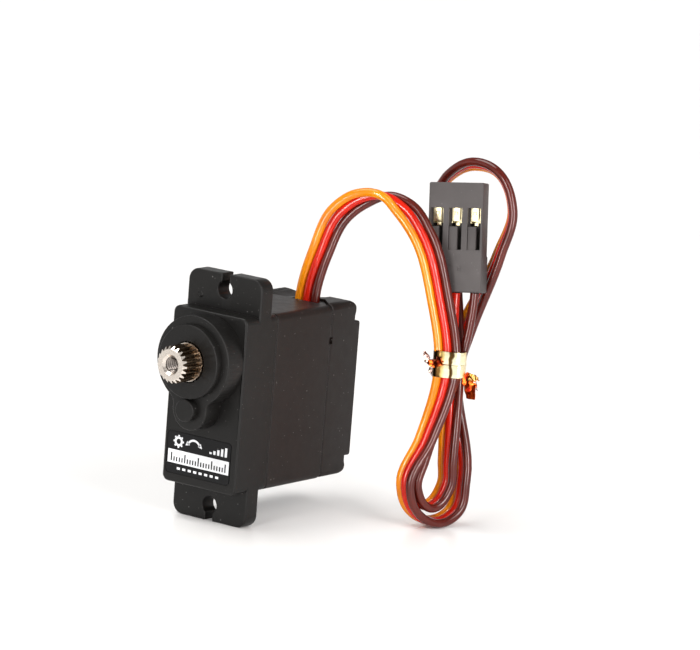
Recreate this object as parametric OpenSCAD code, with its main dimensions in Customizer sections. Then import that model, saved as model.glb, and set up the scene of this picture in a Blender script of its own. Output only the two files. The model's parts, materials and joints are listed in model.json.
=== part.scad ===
// Micro servo motor, 23 x 12 mm case, metal gears, ball bearings, three-wire lead.
//
// Frame: X is the case's width, Z its length, and the output shaft points along -Y.
// The origin is midway between the two flange holes, on the flange's rear face.
// Case, gears and motor are drawn in "case coordinates": x across, y along the
// case's length, z towards the shaft's tip. stand() turns them into the frame.

/* [Case] */
// Width of the case across the output shaft
case_w = 12; // [11.8:0.1:12.6]
// Length of the case along the two flanges
case_l = 23; // [22.8:0.1:24]
// Wall thickness of the shells
wall = 0.9; // [0.8:0.05:0.95]
// Radius of the case's long corner edges
corner_r = 0.9; // [0.5:0.1:1]
// Depth of the skirt behind the flange, down to the first seam
skirt_h = 1.45; // [1.4:0.05:1.6]
// Depth of the middle case, between the two seams
middle_h = 11.55; // [11.2:0.05:12]
// Depth of the bottom cover at its stepped ends
cover_h = 5.1; // [5:0.05:5.8]
// Height of the raised plateau on the bottom cover
plateau_h = 1.1; // [0.8:0.1:1.3]
// Length of the raised plateau
plateau_l = 18; // [17:0.1:18.4]

/* [Flange] */
// Length over both flanges
flange_l = 32.3; // [32:0.1:33]
// Thickness of the flanges
flange_t = 2.4; // [2:0.1:2.4]
// Spacing of the two mounting holes
hole_spacing = 28.2; // [27.8:0.1:28.4]
// Diameter of the mounting holes
hole_d = 2.3; // [2:0.1:2.4]
// Width of the slot from each hole to the flange's end
slot_w = 1.2; // [0.8:0.1:1.4]

/* [Gear head] */
// Height of the front face above the flange's rear face
head_h = 5.05; // [5:0.05:5.3]
// Height of the tower's rim above the flange's rear face
tower_h = 8; // [7.9:0.05:8.3]
// Diameter of the tower around the output shaft
tower_d = 11.7; // [11.4:0.1:11.8]
// Diameter of the raised disc on the tower
disc_d = 9.5; // [9:0.1:9.8]
// Diameter of the small boss over the idler axle
boss_d = 5.4; // [5:0.1:5.6]
// Height of the disc and of the idler cap above the tower's rim
disc_h = 1.05; // [0.8:0.05:1.2]
// Distance from the case's centre to the output axis
output_y = 5.4; // [5.3:0.05:5.5]

/* [Output shaft] */
// Outer diameter of the splined end
spline_d = 4.8; // [4.6:0.05:4.85]
// Number of spline teeth
spline_teeth = 21; // [20:1:25]
// Length of the splined end
spline_l = 3.35; // [3:0.05:4]
// Diameter of the threaded hole for the horn screw
horn_screw_d = 2; // [1.8:0.1:2.2]

/* [Lead] */
// Outer diameter of each lead wire
wire_d = 1.1; // [1:0.05:1.1]
// Pitch of the three wires where they run side by side
wire_pitch = 1.15; // [1.15:0.05:1.2]
// Width of the plug at the lead's end
plug_w = 7.4; // [7.4:0.1:7.8]
// Thickness of the plug
plug_t = 2.5; // [2.4:0.1:2.6]
// Length of the plug
plug_l = 14.2; // [14:0.1:14.4]

/* [Hidden] */
$fn = 64;
eps = 0.01;

// Stations along the shaft, in case coordinates
seam1_z = -skirt_h;
seam2_z = seam1_z - middle_h;
ledge_z = seam2_z - cover_h;
back_z = ledge_z - plateau_h;
disc_z = tower_h + disc_h;
tip_z = disc_z + 0.1 + spline_l;
head_inner_z = head_h - 1;
deck_t = 1.2;
deck_z = seam1_z - deck_t;

// Room inside the shells
inner_w = case_w - 2 * wall;
inner_l = case_l - 2 * wall;

// Axes along the case's length
idler_y = output_y - 6.3;
pinion_y = idler_y - 5.5;

// Gear train, each entry is [teeth, module]
pinion_gear = [9, 0.2];
first_wheel = [46, 0.2];
small_wheel = [11, 0.3];
large_wheel = [31, 0.3];
last_pinion = [11, 0.35];
output_wheel = [25, 0.35];
pressure_angle = 25;
tooth_gap = 0.05;
tooth_top = 0.8;
tooth_root = 1.1;

// Layers of the gear train, each is [lowest, highest] in case coordinates
stage1 = [-1.25, -0.25];
stage2 = [-0.05, 0.95];
stage3 = [1.15, 2.25];
stage4 = [2.45, 3.9];

// Shafts and their running clearance
run = 0.03;
idler_r = 0.5;
idler_cap_r = 1.45;
motor_shaft_r = 0.4;
spigot_r = 0.75;
journal_r = 2.5;

// Bearings, each is [bore radius, outer radius, bottom, top, ball radius, balls]
front_bearing = [journal_r, 4, 5.4, 7.9, 0.5, 11];
rear_bearing = [spigot_r, 2, seam1_z - 2, seam1_z, 0.3, 7];

// Cover: its two ends along the case, and the shallow saddle behind the lead
cover_low_y = 0.2 - case_l / 2;
cover_high_y = case_l / 2 + 0.25;
saddle_x = -1.3;
saddle_r = 11;
saddle_depth = 0.6;

// Case screws
screw_x = 4.75;
screw_y = 10.2;
screw_r = 0.6;
screw_head_r = 1.1;
post_r = 1.15;

// Motor
can_r = 4.9;
can_flat = 4;
can_front_z = deck_z - 0.05;
can_back_z = -11.2;
bell_z = -12.4;

// Potentiometer
pot_front_z = -4;
pot_back_z = -7.7;
pot_r = 4.2;

// Circuit board
board_t = 0.8;
board_z = -15;

// Lead: where it leaves the case, in case coordinates
lead_x = 1.3;
lead_z = -13.5;
lead_start_y = 10.9;
tongue_w = 7.6;
tongue_l = 1.75;

// Route of the middle wire in the frame's own axes. Each row is
// [x, y, z, turn, lift]: turn and lift aim the line through the three wires,
// in degrees from +X towards +Y and upwards.
route = [
    [1.3, 13.5, 10.9, 0, 0],
    [2.6, 13.9, 18, 16, -5],
    [4.6, 15, 23.5, 40, -35],
    [7.2, 16.2, 25.7, 70, -32],
    [9.6, 17.2, 26.2, 112, -8],
    [12.2, 18.1, 25, 72, 28],
    [15.3, 18.5, 21.8, 44, 20],
    [18.2, 19.5, 13.6, 30, 8],
    [19.75, 20, 5.6, 32, 0],
    [18.5, 18.3, -4.5, -8, 0],
    [17.5, 16, -10.4, -20, 0],
    [18.1, 17.4, -14, -20, 0],
    [19.5, 20.6, -15.5, -20, 0],
    [20.4, 23.4, -14.2, -20, 0],
    [20.6, 24.2, -10, -20, 0],
    [18.1, 23.3, 4.8, 32, 0],
    [18.8, 24.9, 9.5, -10, 0],
    [22.2, 26.2, 19.8, -42, 0],
    [23.4, 26.6, 25.8, -50, 0],
    [20.5, 26.6, 30.3, -52, 12],
    [17, 26.6, 30.8, -58, 24],
    [12.6, 26.9, 28.4, -66, 14],
    [16.2, 24.4, 14.2, 10, 0],
    [18.8, 22.3, 4.8, 32, 0],
    [19.65, 22, -7.6, -16, 0],
    [19.65, 22, -11, -20, 0],
    [18.8, 19.6, -13.5, -20, 0],
    [17.9, 17.2, -10.8, -20, 0],
    [18.15, 17.9, -7, -16, 0],
    [19.45, 21.2, 4.8, 32, 0],
    [18.8, 22, 14.6, 17, 6]
];
route_last = len(route) - 1;

// Plug at the lead's end, and the tie round the bundle, in the frame's own axes
plug_at = [18.8, 22, 14.6];
plug_turn = 17;
plug_tilt = -6;
plug_lean = -9;
plug_step = 0.3;
cavity_pitch = 2.54;
exit_pitch = 1.3;
tie_at = [18.96, 21.66, 3.8];
tie_turn = 32;
tie_h = 3.5;
tie_t = 0.2;
row_shift = 0.4;
bundle_w = 2 * wire_pitch + wire_d + row_shift;
bundle_d = 3 * 1.22 + wire_d;

// ---------------------------------------------------------------- helpers

// Turns case coordinates into the frame: local z becomes -Y, local y becomes Z
module stand() {
    rotate([90, 0, 0]) children();
}

// A solid between two heights
module slab(z0, z1) {
    translate([0, 0, z0]) linear_extrude(z1 - z0) children();
}

// Rectangle with round corners, centred
module rounded_rect(w, l, r) {
    square([w - 2 * r, l], center = true);
    square([w, l - 2 * r], center = true);
    for (x = [-1, 1], y = [-1, 1])
        translate([x * (w / 2 - r), y * (l / 2 - r)]) circle(r);
}

// A flat ring
module ring(r_in, r_out, z0, z1) {
    slab(z0, z1) difference() {
        circle(r_out);
        circle(r_in);
    }
}

// Places its children at the four case screws
module at_screws() {
    for (x = [-1, 1], y = [-1, 1])
        translate([x * screw_x, y * screw_y, 0]) children();
}

// The outline of the case shells
module case_outline() {
    rounded_rect(case_w, case_l, corner_r);
}

// The room inside the case shells, less the screw posts
module room_outline() {
    difference() {
        rounded_rect(inner_w, inner_l, 0.3);
        for (x = [-1, 1], y = [-1, 1]) translate([x * screw_x, y * screw_y]) {
            circle(post_r);
            translate([x * post_r / 2, 0]) square([post_r, 2 * post_r], center = true);
            translate([0, y * post_r / 2]) square([2 * post_r, post_r], center = true);
        }
    }
}

// ---------------------------------------------------------------- gear teeth

function involute(rb, a) = [
    rb * (cos(a) + a * PI / 180 * sin(a)),
    rb * (sin(a) - a * PI / 180 * cos(a))
];
function turned(p, a) = [p[0] * cos(a) - p[1] * sin(a), p[0] * sin(a) + p[1] * cos(a)];
function roll_at(rb, r) = r <= rb ? 0 : sqrt(pow(r / rb, 2) - 1) * 180 / PI;

// One tooth's outline, centred on the +x axis, from root to root
function tooth_points(teeth, mod) =
    let (
        rp = teeth * mod / 2,
        rb = rp * cos(pressure_angle),
        rt = rp + tooth_top * mod,
        rr = rp - tooth_root * mod,
        half = 90 / teeth - tooth_gap / rp * 90 / PI,
        lean = half + tan(pressure_angle) * 180 / PI - pressure_angle,
        foot = max(rr, rb),
        rolls = [for (k = [0:3]) roll_at(rb, foot + (rt - foot) * k / 3)],
        flank = [for (a = rolls) turned(involute(rb, a), -lean)]
    )
    concat(
        rr < rb ? [[rr * cos(lean), -rr * sin(lean)]] : [],
        flank,
        [for (k = [3:-1:0]) [flank[k][0], -flank[k][1]]],
        rr < rb ? [[rr * cos(lean), rr * sin(lean)]] : []
    );

function gear_points(teeth, mod, first) = [
    for (k = [0:teeth - 1]) for (p = tooth_points(teeth, mod)) turned(p, first + 360 * k / teeth)
];

// Gear outline. A driving wheel has a tooth at +y, a driven one a gap at -y
module gear_outline(gear, side) {
    gap_turn = side == "tooth_up" ? 90 : -90 + 180 / gear[0];
    polygon(gear_points(gear[0], gear[1], gap_turn));
}

// ---------------------------------------------------------------- case shells

// Tongue of the middle case that reaches into the bottom cover round the lead
module lead_tongue(gap, depth) {
    translate([lead_x, inner_l / 2, seam2_z]) rotate([-90, 0, 0]) linear_extrude(depth) polygon([
        [gap - tongue_w / 2, 0],
        [gap - tongue_w / 2 + tongue_l, tongue_l - gap],
        [tongue_w / 2 - tongue_l - gap, tongue_l - gap],
        [tongue_w / 2 - gap, 0]
    ]);
}

// Slot in the tongue that the wires leave through
module lead_slot() {
    translate([lead_x, case_l / 2, lead_z - 0.1]) cube([3.9, 3 * wall, 1.3], center = true);
}

module flange_plan() {
    difference() {
        rounded_rect(case_w, flange_l, 1.5);
        for (y = [-1, 1]) {
            translate([0, y * hole_spacing / 2]) circle(hole_d / 2);
            translate([0, y * (hole_spacing + flange_l) / 4 + y])
                square([slot_w, (flange_l - hole_spacing) / 2 + 2], center = true);
        }
    }
}

// Tower and idler boss in one outline
module tower_plan() {
    fillet_r = 1.4;
    offset(r = -fillet_r) offset(r = fillet_r) {
        translate([0, output_y]) circle(tower_d / 2);
        translate([0, idler_y]) circle(boss_d / 2);
    }
}

module upper_case() {
    color("#2f2f2f") stand() difference() {
        union() {
            slab(seam1_z, head_h) case_outline();
            slab(0, flange_t) flange_plan();
            slab(head_inner_z, tower_h) tower_plan();
            translate([0, output_y]) slab(tower_h - eps, disc_z) circle(disc_d / 2);
            translate([0, idler_y]) slab(tower_h - eps, disc_z) circle(idler_cap_r);
            translate([-3.8, 12.9]) slab(flange_t - eps, flange_t + 0.12) circle(0.4);
        }
        slab(seam1_z - 1, head_inner_z) room_outline();
        translate([0, output_y]) slab(head_inner_z - eps, front_bearing[3]) circle(front_bearing[1]);
        translate([0, output_y]) slab(front_bearing[3] - eps, front_bearing[3] + 0.2) circle(3.2);
        translate([0, output_y]) slab(front_bearing[3], disc_z + 1) circle(journal_r + 0.1);
        translate([0, idler_y]) slab(head_inner_z - eps, 7.4) circle(idler_r);
        at_screws() slab(seam1_z - 1, 3.2) circle(screw_r + 0.02);
        translate([-0.25, -7.55]) slab(head_h - 0.1, head_h + 1) rounded_rect(10.5, 5.6, 0.5);
    }
}

// Small notches on the second seam, one each side, to lever the cover off
module pry_notches() {
    for (x = [-1, 1]) translate([x * case_w / 2, 6.9, seam2_z]) cube([0.6, 0.9, 0.7], center = true);
}

module middle_case() {
    color("#2b2b2b") stand() difference() {
        union() {
            slab(seam2_z, seam1_z) case_outline();
            slab(seam1_z - eps, seam1_z + 0.6) difference() {
                rounded_rect(inner_w - 0.06, inner_l - 0.06, 0.3);
                rounded_rect(inner_w - 0.8, inner_l - 0.8, 0.3);
                square([case_w, 15], center = true);
                for (x = [-1, 1], y = [-1, 1]) translate([x * 5, y * 10.6]) square([4, 4.2], center = true);
            }
            lead_tongue(0.08, wall);
        }
        lead_slot();
        difference() {
            slab(seam2_z - 1, deck_z) room_outline();
            translate([0, output_y]) slab(pot_front_z, deck_z + 1) circle(3.4);
            translate([0, -1.5]) slab(-11, deck_z + 1) square([case_w, 0.8], center = true);
        }
        translate([0, output_y]) slab(rear_bearing[2], seam1_z + 1) circle(rear_bearing[1]);
        translate([0, output_y]) slab(pot_front_z - 1, 0) circle(1.3);
        translate([0, idler_y]) slab(deck_z + 0.2, 0) circle(idler_r);
        translate([0, pinion_y]) slab(deck_z - 1, 0) circle(1.3);
        at_screws() slab(seam2_z - 1, 0) circle(0.75);
        pry_notches();
    }
}

// Side profile of the bottom cover: rounded ends, of which the lead's stands proud of the middle case
module cover_profile() {
    edge_r = 0.35;
    end_r = 1.1;
    offset(r = edge_r) offset(delta = -edge_r) {
        translate([-plateau_l / 2, back_z]) square([plateau_l, plateau_h + 1]);
        hull() {
            for (y = [cover_low_y + end_r, cover_high_y - end_r])
                translate([y, ledge_z + end_r]) circle(end_r);
            translate([cover_low_y, seam2_z]) square([cover_high_y - cover_low_y, 1]);
        }
    }
}

module bottom_cover() {
    color("#2d2d2d") stand() difference() {
        intersection() {
            slab(back_z, seam2_z) hull() {
                case_outline();
                translate([0, cover_high_y - case_l / 2]) case_outline();
            }
            rotate([90, 0, 90]) translate([0, 0, -case_w / 2]) linear_extrude(case_w) cover_profile();
        }
        slab(ledge_z + wall, seam2_z + 1) room_outline();
        at_screws() slab(back_z - 1, seam2_z + 1) circle(0.75);
        at_screws() slab(back_z - 1, ledge_z + 0.8) circle(screw_head_r + 0.1);
        lead_tongue(0, 2 * wall);
        translate([saddle_x, cover_high_y + saddle_r - saddle_depth]) slab(back_z, seam2_z + 1)
            circle(saddle_r, $fn = 240);
        pry_notches();
    }
}

module case_screws() {
    color("#6d6a64") stand() at_screws() difference() {
        union() {
            slab(ledge_z + 0.75, 2.6) circle(screw_r);
            slab(ledge_z + 0.05, ledge_z + 0.8) circle(screw_head_r);
        }
        for (a = [0, 90]) rotate(a) translate([0, 0, ledge_z]) cube([1.3, 0.3, 0.9], center = true);
    }
}

module label() {
    color("#151515") stand() translate([-0.25, -7.55]) slab(head_h - 0.1, head_h + 0.02)
        rounded_rect(10.3, 5.4, 0.45);
}

// ---------------------------------------------------------------- bearings

function race_r(b) = (b[0] + b[1]) / 2;

// The groove that the balls run in
module ball_groove(b) {
    translate([0, 0, (b[2] + b[3]) / 2]) rotate_extrude()
        translate([race_r(b), 0]) circle(b[4] + 0.02, $fn = 32);
}

module bearing_outer(b) {
    difference() {
        ring(race_r(b) + b[4] * 0.55, b[1], b[2], b[3]);
        ball_groove(b);
    }
}

module bearing_inner(b) {
    difference() {
        ring(b[0], race_r(b) - b[4] * 0.55, b[2], b[3]);
        ball_groove(b);
    }
}

module bearing_balls(b) {
    for (k = [0:b[5] - 1]) rotate(360 * k / b[5])
        translate([race_r(b), 0, (b[2] + b[3]) / 2]) sphere(b[4], $fn = 24);
}

// Crown cage: a ring under the balls with a pocket open upwards for each one
module bearing_cage(b) {
    mid = (b[2] + b[3]) / 2;
    floor_z = mid - b[4] - 0.02;
    translate([0, 0, floor_z - 0.2]) difference() {
        ring(race_r(b) - b[4] * 0.3, race_r(b) + b[4] * 0.3, 0, b[4] + 0.2);
        for (k = [0:b[5] - 1]) rotate(360 * k / b[5])
            translate([race_r(b), 0, b[4] + 0.2]) cube([2, 2, 2] * b[4] + [0, 0.04, 0], center = true);
    }
}

module on_output() {
    stand() translate([0, output_y, 0]) children();
}

module front_bearing_outer() {
    color("#b9b9b4") on_output() bearing_outer(front_bearing);
}

module front_bearing_inner() {
    color("#c4c4c0") on_output() bearing_inner(front_bearing);
}

module front_bearing_balls() {
    color("#dcdcdc") on_output() bearing_balls(front_bearing);
}

module front_bearing_cage() {
    color("#b08d4a") on_output() bearing_cage(front_bearing);
}

module rear_bearing_outer() {
    color("#b9b9b4") on_output() bearing_outer(rear_bearing);
}

module rear_bearing_inner() {
    color("#c4c4c0") on_output() bearing_inner(rear_bearing);
}

module rear_bearing_balls() {
    color("#dcdcdc") on_output() bearing_balls(rear_bearing);
}

module rear_bearing_cage() {
    color("#b08d4a") on_output() bearing_cage(rear_bearing);
}

// ---------------------------------------------------------------- gears

// Spline teeth: a star with narrow flat tips
function spline_points(n, r_out, r_root) = [
    for (k = [0:n - 1]) for (p = [[-0.36, r_root], [-0.12, r_out], [0.12, r_out], [0.36, r_root]])
        turned([p[1], 0], 360 * (k + p[0]) / n)
];

module output_gear() {
    root_r = spline_d / 2 - 0.36;
    chamfer = 0.4;
    spigot_end = -5.3;
    color("#c9c5bd") on_output() difference() {
        union() {
            slab(stage4[0], stage4[1]) gear_outline(output_wheel, "gap_down");
            slab(stage4[1] - eps, front_bearing[2]) circle(2.9);
            slab(stage4[1], disc_z + 0.1) circle(journal_r - 0.02);
            intersection() {
                slab(disc_z, tip_z) polygon(spline_points(spline_teeth, spline_d / 2, root_r));
                union() {
                    cylinder(r = spline_d, h = tip_z - chamfer);
                    translate([0, 0, tip_z - chamfer - eps])
                        cylinder(r1 = spline_d / 2, r2 = spline_d / 2 - chamfer, h = chamfer + eps);
                }
            }
            slab(spigot_end, stage4[0] + eps) circle(spigot_r - 0.01);
        }
        slab(tip_z - 5, tip_z + 1) circle(horn_screw_d / 2);
        translate([0, 0, tip_z - 0.33]) cylinder(r1 = horn_screw_d / 2, r2 = 1.35, h = 0.35);
        translate([0, 0.95, spigot_end - 1]) linear_extrude(2.6) square([3, 1], center = true);
    }
}

module first_gear() {
    color("#c9b27a") stand() translate([0, idler_y, 0]) difference() {
        union() {
            slab(stage1[0], stage1[1]) gear_outline(first_wheel, "gap_down");
            slab(stage1[1] - eps, stage2[1]) gear_outline(small_wheel, "tooth_up");
        }
        slab(-5, 5) circle(idler_r + run);
    }
}

module second_gear() {
    color("#c9b27a") on_output() difference() {
        union() {
            slab(stage2[0], stage2[1]) gear_outline(large_wheel, "gap_down");
            slab(stage2[1] - eps, stage3[1]) gear_outline(small_wheel, "gap_down");
        }
        slab(-5, 5) circle(spigot_r + run);
    }
}

module third_gear() {
    color("#b9b5aa") stand() translate([0, idler_y, 0]) difference() {
        union() {
            slab(stage3[0], stage3[1]) gear_outline(large_wheel, "tooth_up");
            slab(stage3[1] - eps, stage4[1] - 0.05) gear_outline(last_pinion, "tooth_up");
        }
        slab(-5, 5) circle(idler_r + run);
    }
}

module idler_axle() {
    color("#a8a8a8") stand() translate([0, idler_y, 0]) slab(deck_z + 0.25, 7.3) circle(idler_r);
}

module motor_pinion() {
    color("#cdb069") on_motor() difference() {
        slab(stage1[0] - 0.05, stage1[1] + 0.15) gear_outline(pinion_gear, "tooth_up");
        slab(-5, 5) circle(motor_shaft_r);
    }
}

// ---------------------------------------------------------------- motor

module on_motor() {
    stand() translate([0, pinion_y, 0]) children();
}

// Round can with two flats
module can_outline(r, flat) {
    intersection() {
        circle(r);
        square([3 * r, 2 * flat], center = true);
    }
}

module motor_can() {
    can_t = 0.4;
    color("#8f9296") on_motor() difference() {
        slab(can_back_z, can_front_z) can_outline(can_r, can_flat);
        slab(can_back_z - 1, can_front_z - 0.6) can_outline(can_r - can_t, can_flat - can_t);
        slab(can_front_z - 1, 0) circle(1.2);
    }
}

module motor_magnets() {
    color("#4a4a4e") on_motor() slab(can_back_z + 1, can_front_z - 1.2) difference() {
        can_outline(can_r - 0.45, can_flat - 0.45);
        circle(3.45);
        square([5.2, 12], center = true);
    }
}

module motor_front_bush() {
    color("#a9824b") on_motor() difference() {
        slab(can_front_z - 0.9, deck_z + 0.6) circle(1.2);
        slab(-9, 0) circle(motor_shaft_r + run);
    }
}

module motor_shaft() {
    color("#b4b6b8") on_motor() slab(bell_z + 0.2, stage1[1] + 0.2) circle(motor_shaft_r);
}

// Three-pole lamination stack
module motor_armature() {
    color("#7c7f83") on_motor() difference() {
        slab(-9.4, -4.6) union() {
            circle(1.3);
            for (k = [0:2]) rotate(120 * k + 90) {
                translate([1.6, 0]) square([3.2, 1], center = true);
                intersection() {
                    difference() {
                        circle(3.25);
                        circle(2.6);
                    }
                    polygon([[0, 0], [4, -4], [6, 0], [4, 4]]);
                }
            }
        }
        slab(-12, 0) circle(motor_shaft_r);
    }
}

// One coil round each pole, under its pole shoe
module motor_windings() {
    color("#a3561f") on_motor() slab(-9.9, -4.1) for (k = [0:2]) rotate(120 * k + 90) difference() {
        translate([1.85, 0]) square([0.9, 2.4], center = true);
        square([8, 1.04], center = true);
    }
}

module motor_commutator() {
    color("#b87333") on_motor() slab(-11.9, -10.1) difference() {
        circle(1.1);
        circle(motor_shaft_r);
        for (k = [0:2]) rotate(120 * k) translate([2, 0]) square([2.6, 0.15], center = true);
    }
}

module motor_end_bell() {
    color("#3b3b3b") on_motor() difference() {
        union() {
            slab(bell_z, can_back_z) can_outline(can_r - 0.1, can_flat - 0.1);
            slab(can_back_z - eps, can_back_z + 0.8) can_outline(can_r - 0.45, can_flat - 0.45);
        }
        slab(bell_z + 0.45, can_back_z + 1) circle(3.1);
        slab(bell_z - 1, bell_z + 1) circle(motor_shaft_r + run);
        for (x = [-1, 1]) translate([x * 2.6, 0])
            slab(bell_z - 1, bell_z + 1) square([0.34, 1.24], center = true);
    }
}

module motor_brushes() {
    color("#c08a4e") on_motor() for (x = [-1, 1]) translate([x * 1.27, 0])
        slab(-11.8, -10.4) square([0.25, 1.6], center = true);
}

module motor_terminals() {
    color("#c9c4b0") on_motor() for (x = [-1, 1]) {
        translate([x * 2.6, 0]) slab(board_z - 0.3, -11.4) square([0.3, 1.2], center = true);
        translate([x * 1.95, 0]) slab(-11.6, -11.4) square([1.1, 1.2], center = true);
    }
}

// ---------------------------------------------------------------- potentiometer

module pot_housing() {
    color("#3a6a4a") on_output() difference() {
        slab(pot_back_z, pot_front_z) circle(pot_r);
        slab(pot_back_z + 0.5, pot_front_z - 0.5) circle(pot_r - 0.5);
        slab(pot_front_z - 1, pot_front_z + 1) circle(1.35);
    }
}

module pot_track() {
    color("#1d1d1d") on_output() slab(pot_back_z + 0.5, pot_back_z + 0.8) difference() {
        circle(3.4);
        circle(1.8);
        translate([0, -3]) square([1, 3], center = true);
    }
}

module pot_rotor() {
    color("#e4e0d2") on_output() difference() {
        union() {
            slab(-6.4, -4.1) circle(1.25);
            slab(-5.8, -5.3) circle(3.3);
        }
        slab(-7, -4) difference() {
            circle(spigot_r + 0.01);
            translate([0, 0.97]) square([3, 1], center = true);
        }
        slab(-4.5, -3) circle(spigot_r + 0.01);
    }
}

module pot_wiper() {
    color("#c8a24a") on_output() translate([0, 2.5]) {
        slab(-5.95, -5.8) square([1, 1.6], center = true);
        slab(-6.85, -5.95) translate([0, 0.4]) square([0.8, 0.2], center = true);
    }
}

// Three wires from the potentiometer down to the board
module pot_leads() {
    color("#c9b04a") on_output() for (x = [-1, 0, 1]) translate([x * 1.6, -2.9])
        slab(board_z + board_t, pot_back_z) circle(0.3);
}

// ---------------------------------------------------------------- electronics

module circuit_board() {
    color("#1f6b3a") stand() difference() {
        slab(board_z, board_z + board_t) rounded_rect(inner_w - 0.2, inner_l - 0.2, 0.3);
        at_screws() slab(board_z - 1, board_z + 2) circle(post_r + 0.15);
        for (x = [-1, 1], y = [-1, 1]) translate([x * (screw_x + 0.8), y * (screw_y + 0.8)])
            slab(board_z - 1, board_z + 2) square([2.6, 2.6], center = true);
        for (x = [-1, 1]) translate([x * 2.6, pinion_y])
            slab(board_z - 1, board_z + 2) square([0.4, 1.3], center = true);
    }
}

// A chip with a rim of solder feet
module chip(w, l, h, feet) {
    slab(board_z - h, board_z - 0.1) square([w, l], center = true);
    for (k = [0:feet - 1], s = [-1, 1])
        translate([s * w / 2, (k - (feet - 1) / 2) * l / feet])
            slab(board_z - 0.25, board_z) square([0.7, l / feet / 2], center = true);
}

module controller_chip() {
    color("#1b1b1d") stand() translate([0, 3.4]) chip(4, 4.4, 1.1, 7);
}

module driver_chips() {
    color("#1b1b1d") stand() for (x = [-1, 1]) translate([x * 2.4, -1.6]) chip(2, 3, 1, 4);
}

module board_capacitors() {
    color("#c8923a") stand() for (x = [-1, 1]) translate([x * 1.9, 8])
        slab(board_z - 1.2, board_z) square([1.6, 2.6], center = true);
}

module board_resistors() {
    color("#2a2a2a") stand() for (k = [0:4]) translate([(k - 2) * 1.4, -9.2])
        slab(board_z - 0.4, board_z) square([0.6, 1.1], center = true);
}

// ---------------------------------------------------------------- lead

// Clamp bar in the case that holds the three wires
module lead_clamp() {
    color("#232323") stand() translate([lead_x, 10.1, lead_z]) difference() {
        cube([4.2, 0.9, 1.3], center = true);
        for (k = [-1:1]) translate([k * exit_pitch, 0, 0]) rotate([90, 0, 0])
            cylinder(r = wire_d / 2, h = 2, center = true, $fn = 32);
    }
}

// The wires' ends inside the case, down to their solder pads
module lead_tails() {
    color("#d8b070") stand() for (k = [-1:1]) translate([lead_x + k * exit_pitch, lead_start_y, lead_z]) {
        rotate([90, 0, 0]) cylinder(r = wire_d / 2, h = 3, $fn = 32);
        translate([0, -3, -0.35]) cube([0.5, 1, 0.7], center = true);
    }
}

function unit(v) = v / norm(v);
function aim(r) = [cos(r[4]) * cos(r[3]), cos(r[4]) * sin(r[3]), sin(r[4])];
function pitch_at(k) = k == route_last ? cavity_pitch : k == 0 ? exit_pitch : wire_pitch;
function wire_point(k, offset) =
    [route[k][0], route[k][1], route[k][2]] + offset * pitch_at(k) * aim(route[k]);

// One wire: a polyhedron swept through the route's points, eight sides a ring
module lead_wire(offset) {
    sides = 8;
    points = [for (k = [0:route_last]) wire_point(k, offset)];
    along = [for (k = [0:route_last])
        k == 0 ? [0, 0, 1]
        : k == route_last ? [0, 0, 1]
        : unit(unit(points[k + 1] - points[k]) + unit(points[k] - points[k - 1]))];
    across = [for (k = [0:route_last])
        let (a = aim(route[k])) unit(a - (a * along[k]) * along[k])];
    rings = [for (k = [0:route_last]) for (s = [0:sides - 1])
        let (angle = 360 * (s + 0.5) / sides, up = cross(along[k], across[k]))
        points[k] + wire_d / 2 * (cos(angle) * across[k] + sin(angle) * up)];
    walls = [for (k = [0:route_last - 1]) for (s = [0:sides - 1])
        let (n = (s + 1) % sides)
        [k * sides + s, (k + 1) * sides + s, (k + 1) * sides + n, k * sides + n]];
    ends = [[for (s = [0:sides - 1]) s], [for (s = [sides - 1:-1:0]) route_last * sides + s]];
    polyhedron(rings, concat(walls, ends), convexity = 8);
}

module lead_orange() {
    color("#f2932b") lead_wire(-1);
}

module lead_red() {
    color("#e2342a") lead_wire(0);
}

module lead_brown() {
    color("#6b3b34") lead_wire(1);
}

// Foil tie: two turns round the bundle, with the twisted ends
module twist_tie() {
    color("#c9a24a") translate(tie_at) rotate(tie_turn) {
        for (z = [0, tie_h / 2]) translate([0, 0, z]) linear_extrude(tie_h / 2 - 0.1) difference() {
            rounded_rect(bundle_w + 2 * tie_t + 0.2, bundle_d + 2 * tie_t + 0.2, 0.7);
            rounded_rect(bundle_w + 0.2, bundle_d + 0.2, 0.5);
        }
        translate([0, -bundle_d / 2 - 0.2, tie_h / 2 - 0.2]) cube([1, 0.19, 0.4], center = true);
        translate([-bundle_w / 2 - 1.4, -1.4, 1.5]) cube([2.2, 0.5, 2], center = true);
        translate([bundle_w / 2 + 1, 1.4, -0.8]) cube([1.7, 0.5, 2.4], center = true);
    }
}

// ---------------------------------------------------------------- plug

module at_plug() {
    translate(plug_at) rotate(plug_turn) rotate([0, plug_tilt, 0]) rotate([plug_lean, 0, 0]) children();
}

// Three cavities with latch windows on the front face
module plug_housing() {
    cavity_w = 1.5;
    color("#4a4847") at_plug() difference() {
        union() {
            translate([-plug_w / 2, -plug_t / 2, 0]) cube([plug_w, plug_t, plug_l]);
            translate([-plug_w / 2, -plug_t / 2, 0]) cube([plug_w, plug_t + plug_step, 4.8]);
        }
        for (k = [-1:1]) translate([k * cavity_pitch, 0, 0]) {
            translate([0, 0.1, plug_l / 2]) cube([cavity_w, 1.4, plug_l + 1], center = true);
            translate([0, -plug_t / 2, 8]) cube([1.8, 1.7, 5.4], center = true);
        }
    }
}

// Gold box contacts, one in each cavity, with their crimps
module plug_contacts() {
    color("#d6ae4c") at_plug() for (k = [-1:1]) translate([k * cavity_pitch, 0.1, 0]) {
        translate([0, 0, 11.2]) difference() {
            cube([1.4, 1.3, 5.4], center = true);
            cube([1, 0.9, 6], center = true);
        }
        translate([0, 0.3, 6.4]) cube([1, 0.3, 4.4], center = true);
        translate([0, 0, 3]) cube([1.2, 1, 2.6], center = true);
    }
}

// ---------------------------------------------------------------- drawing

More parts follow.
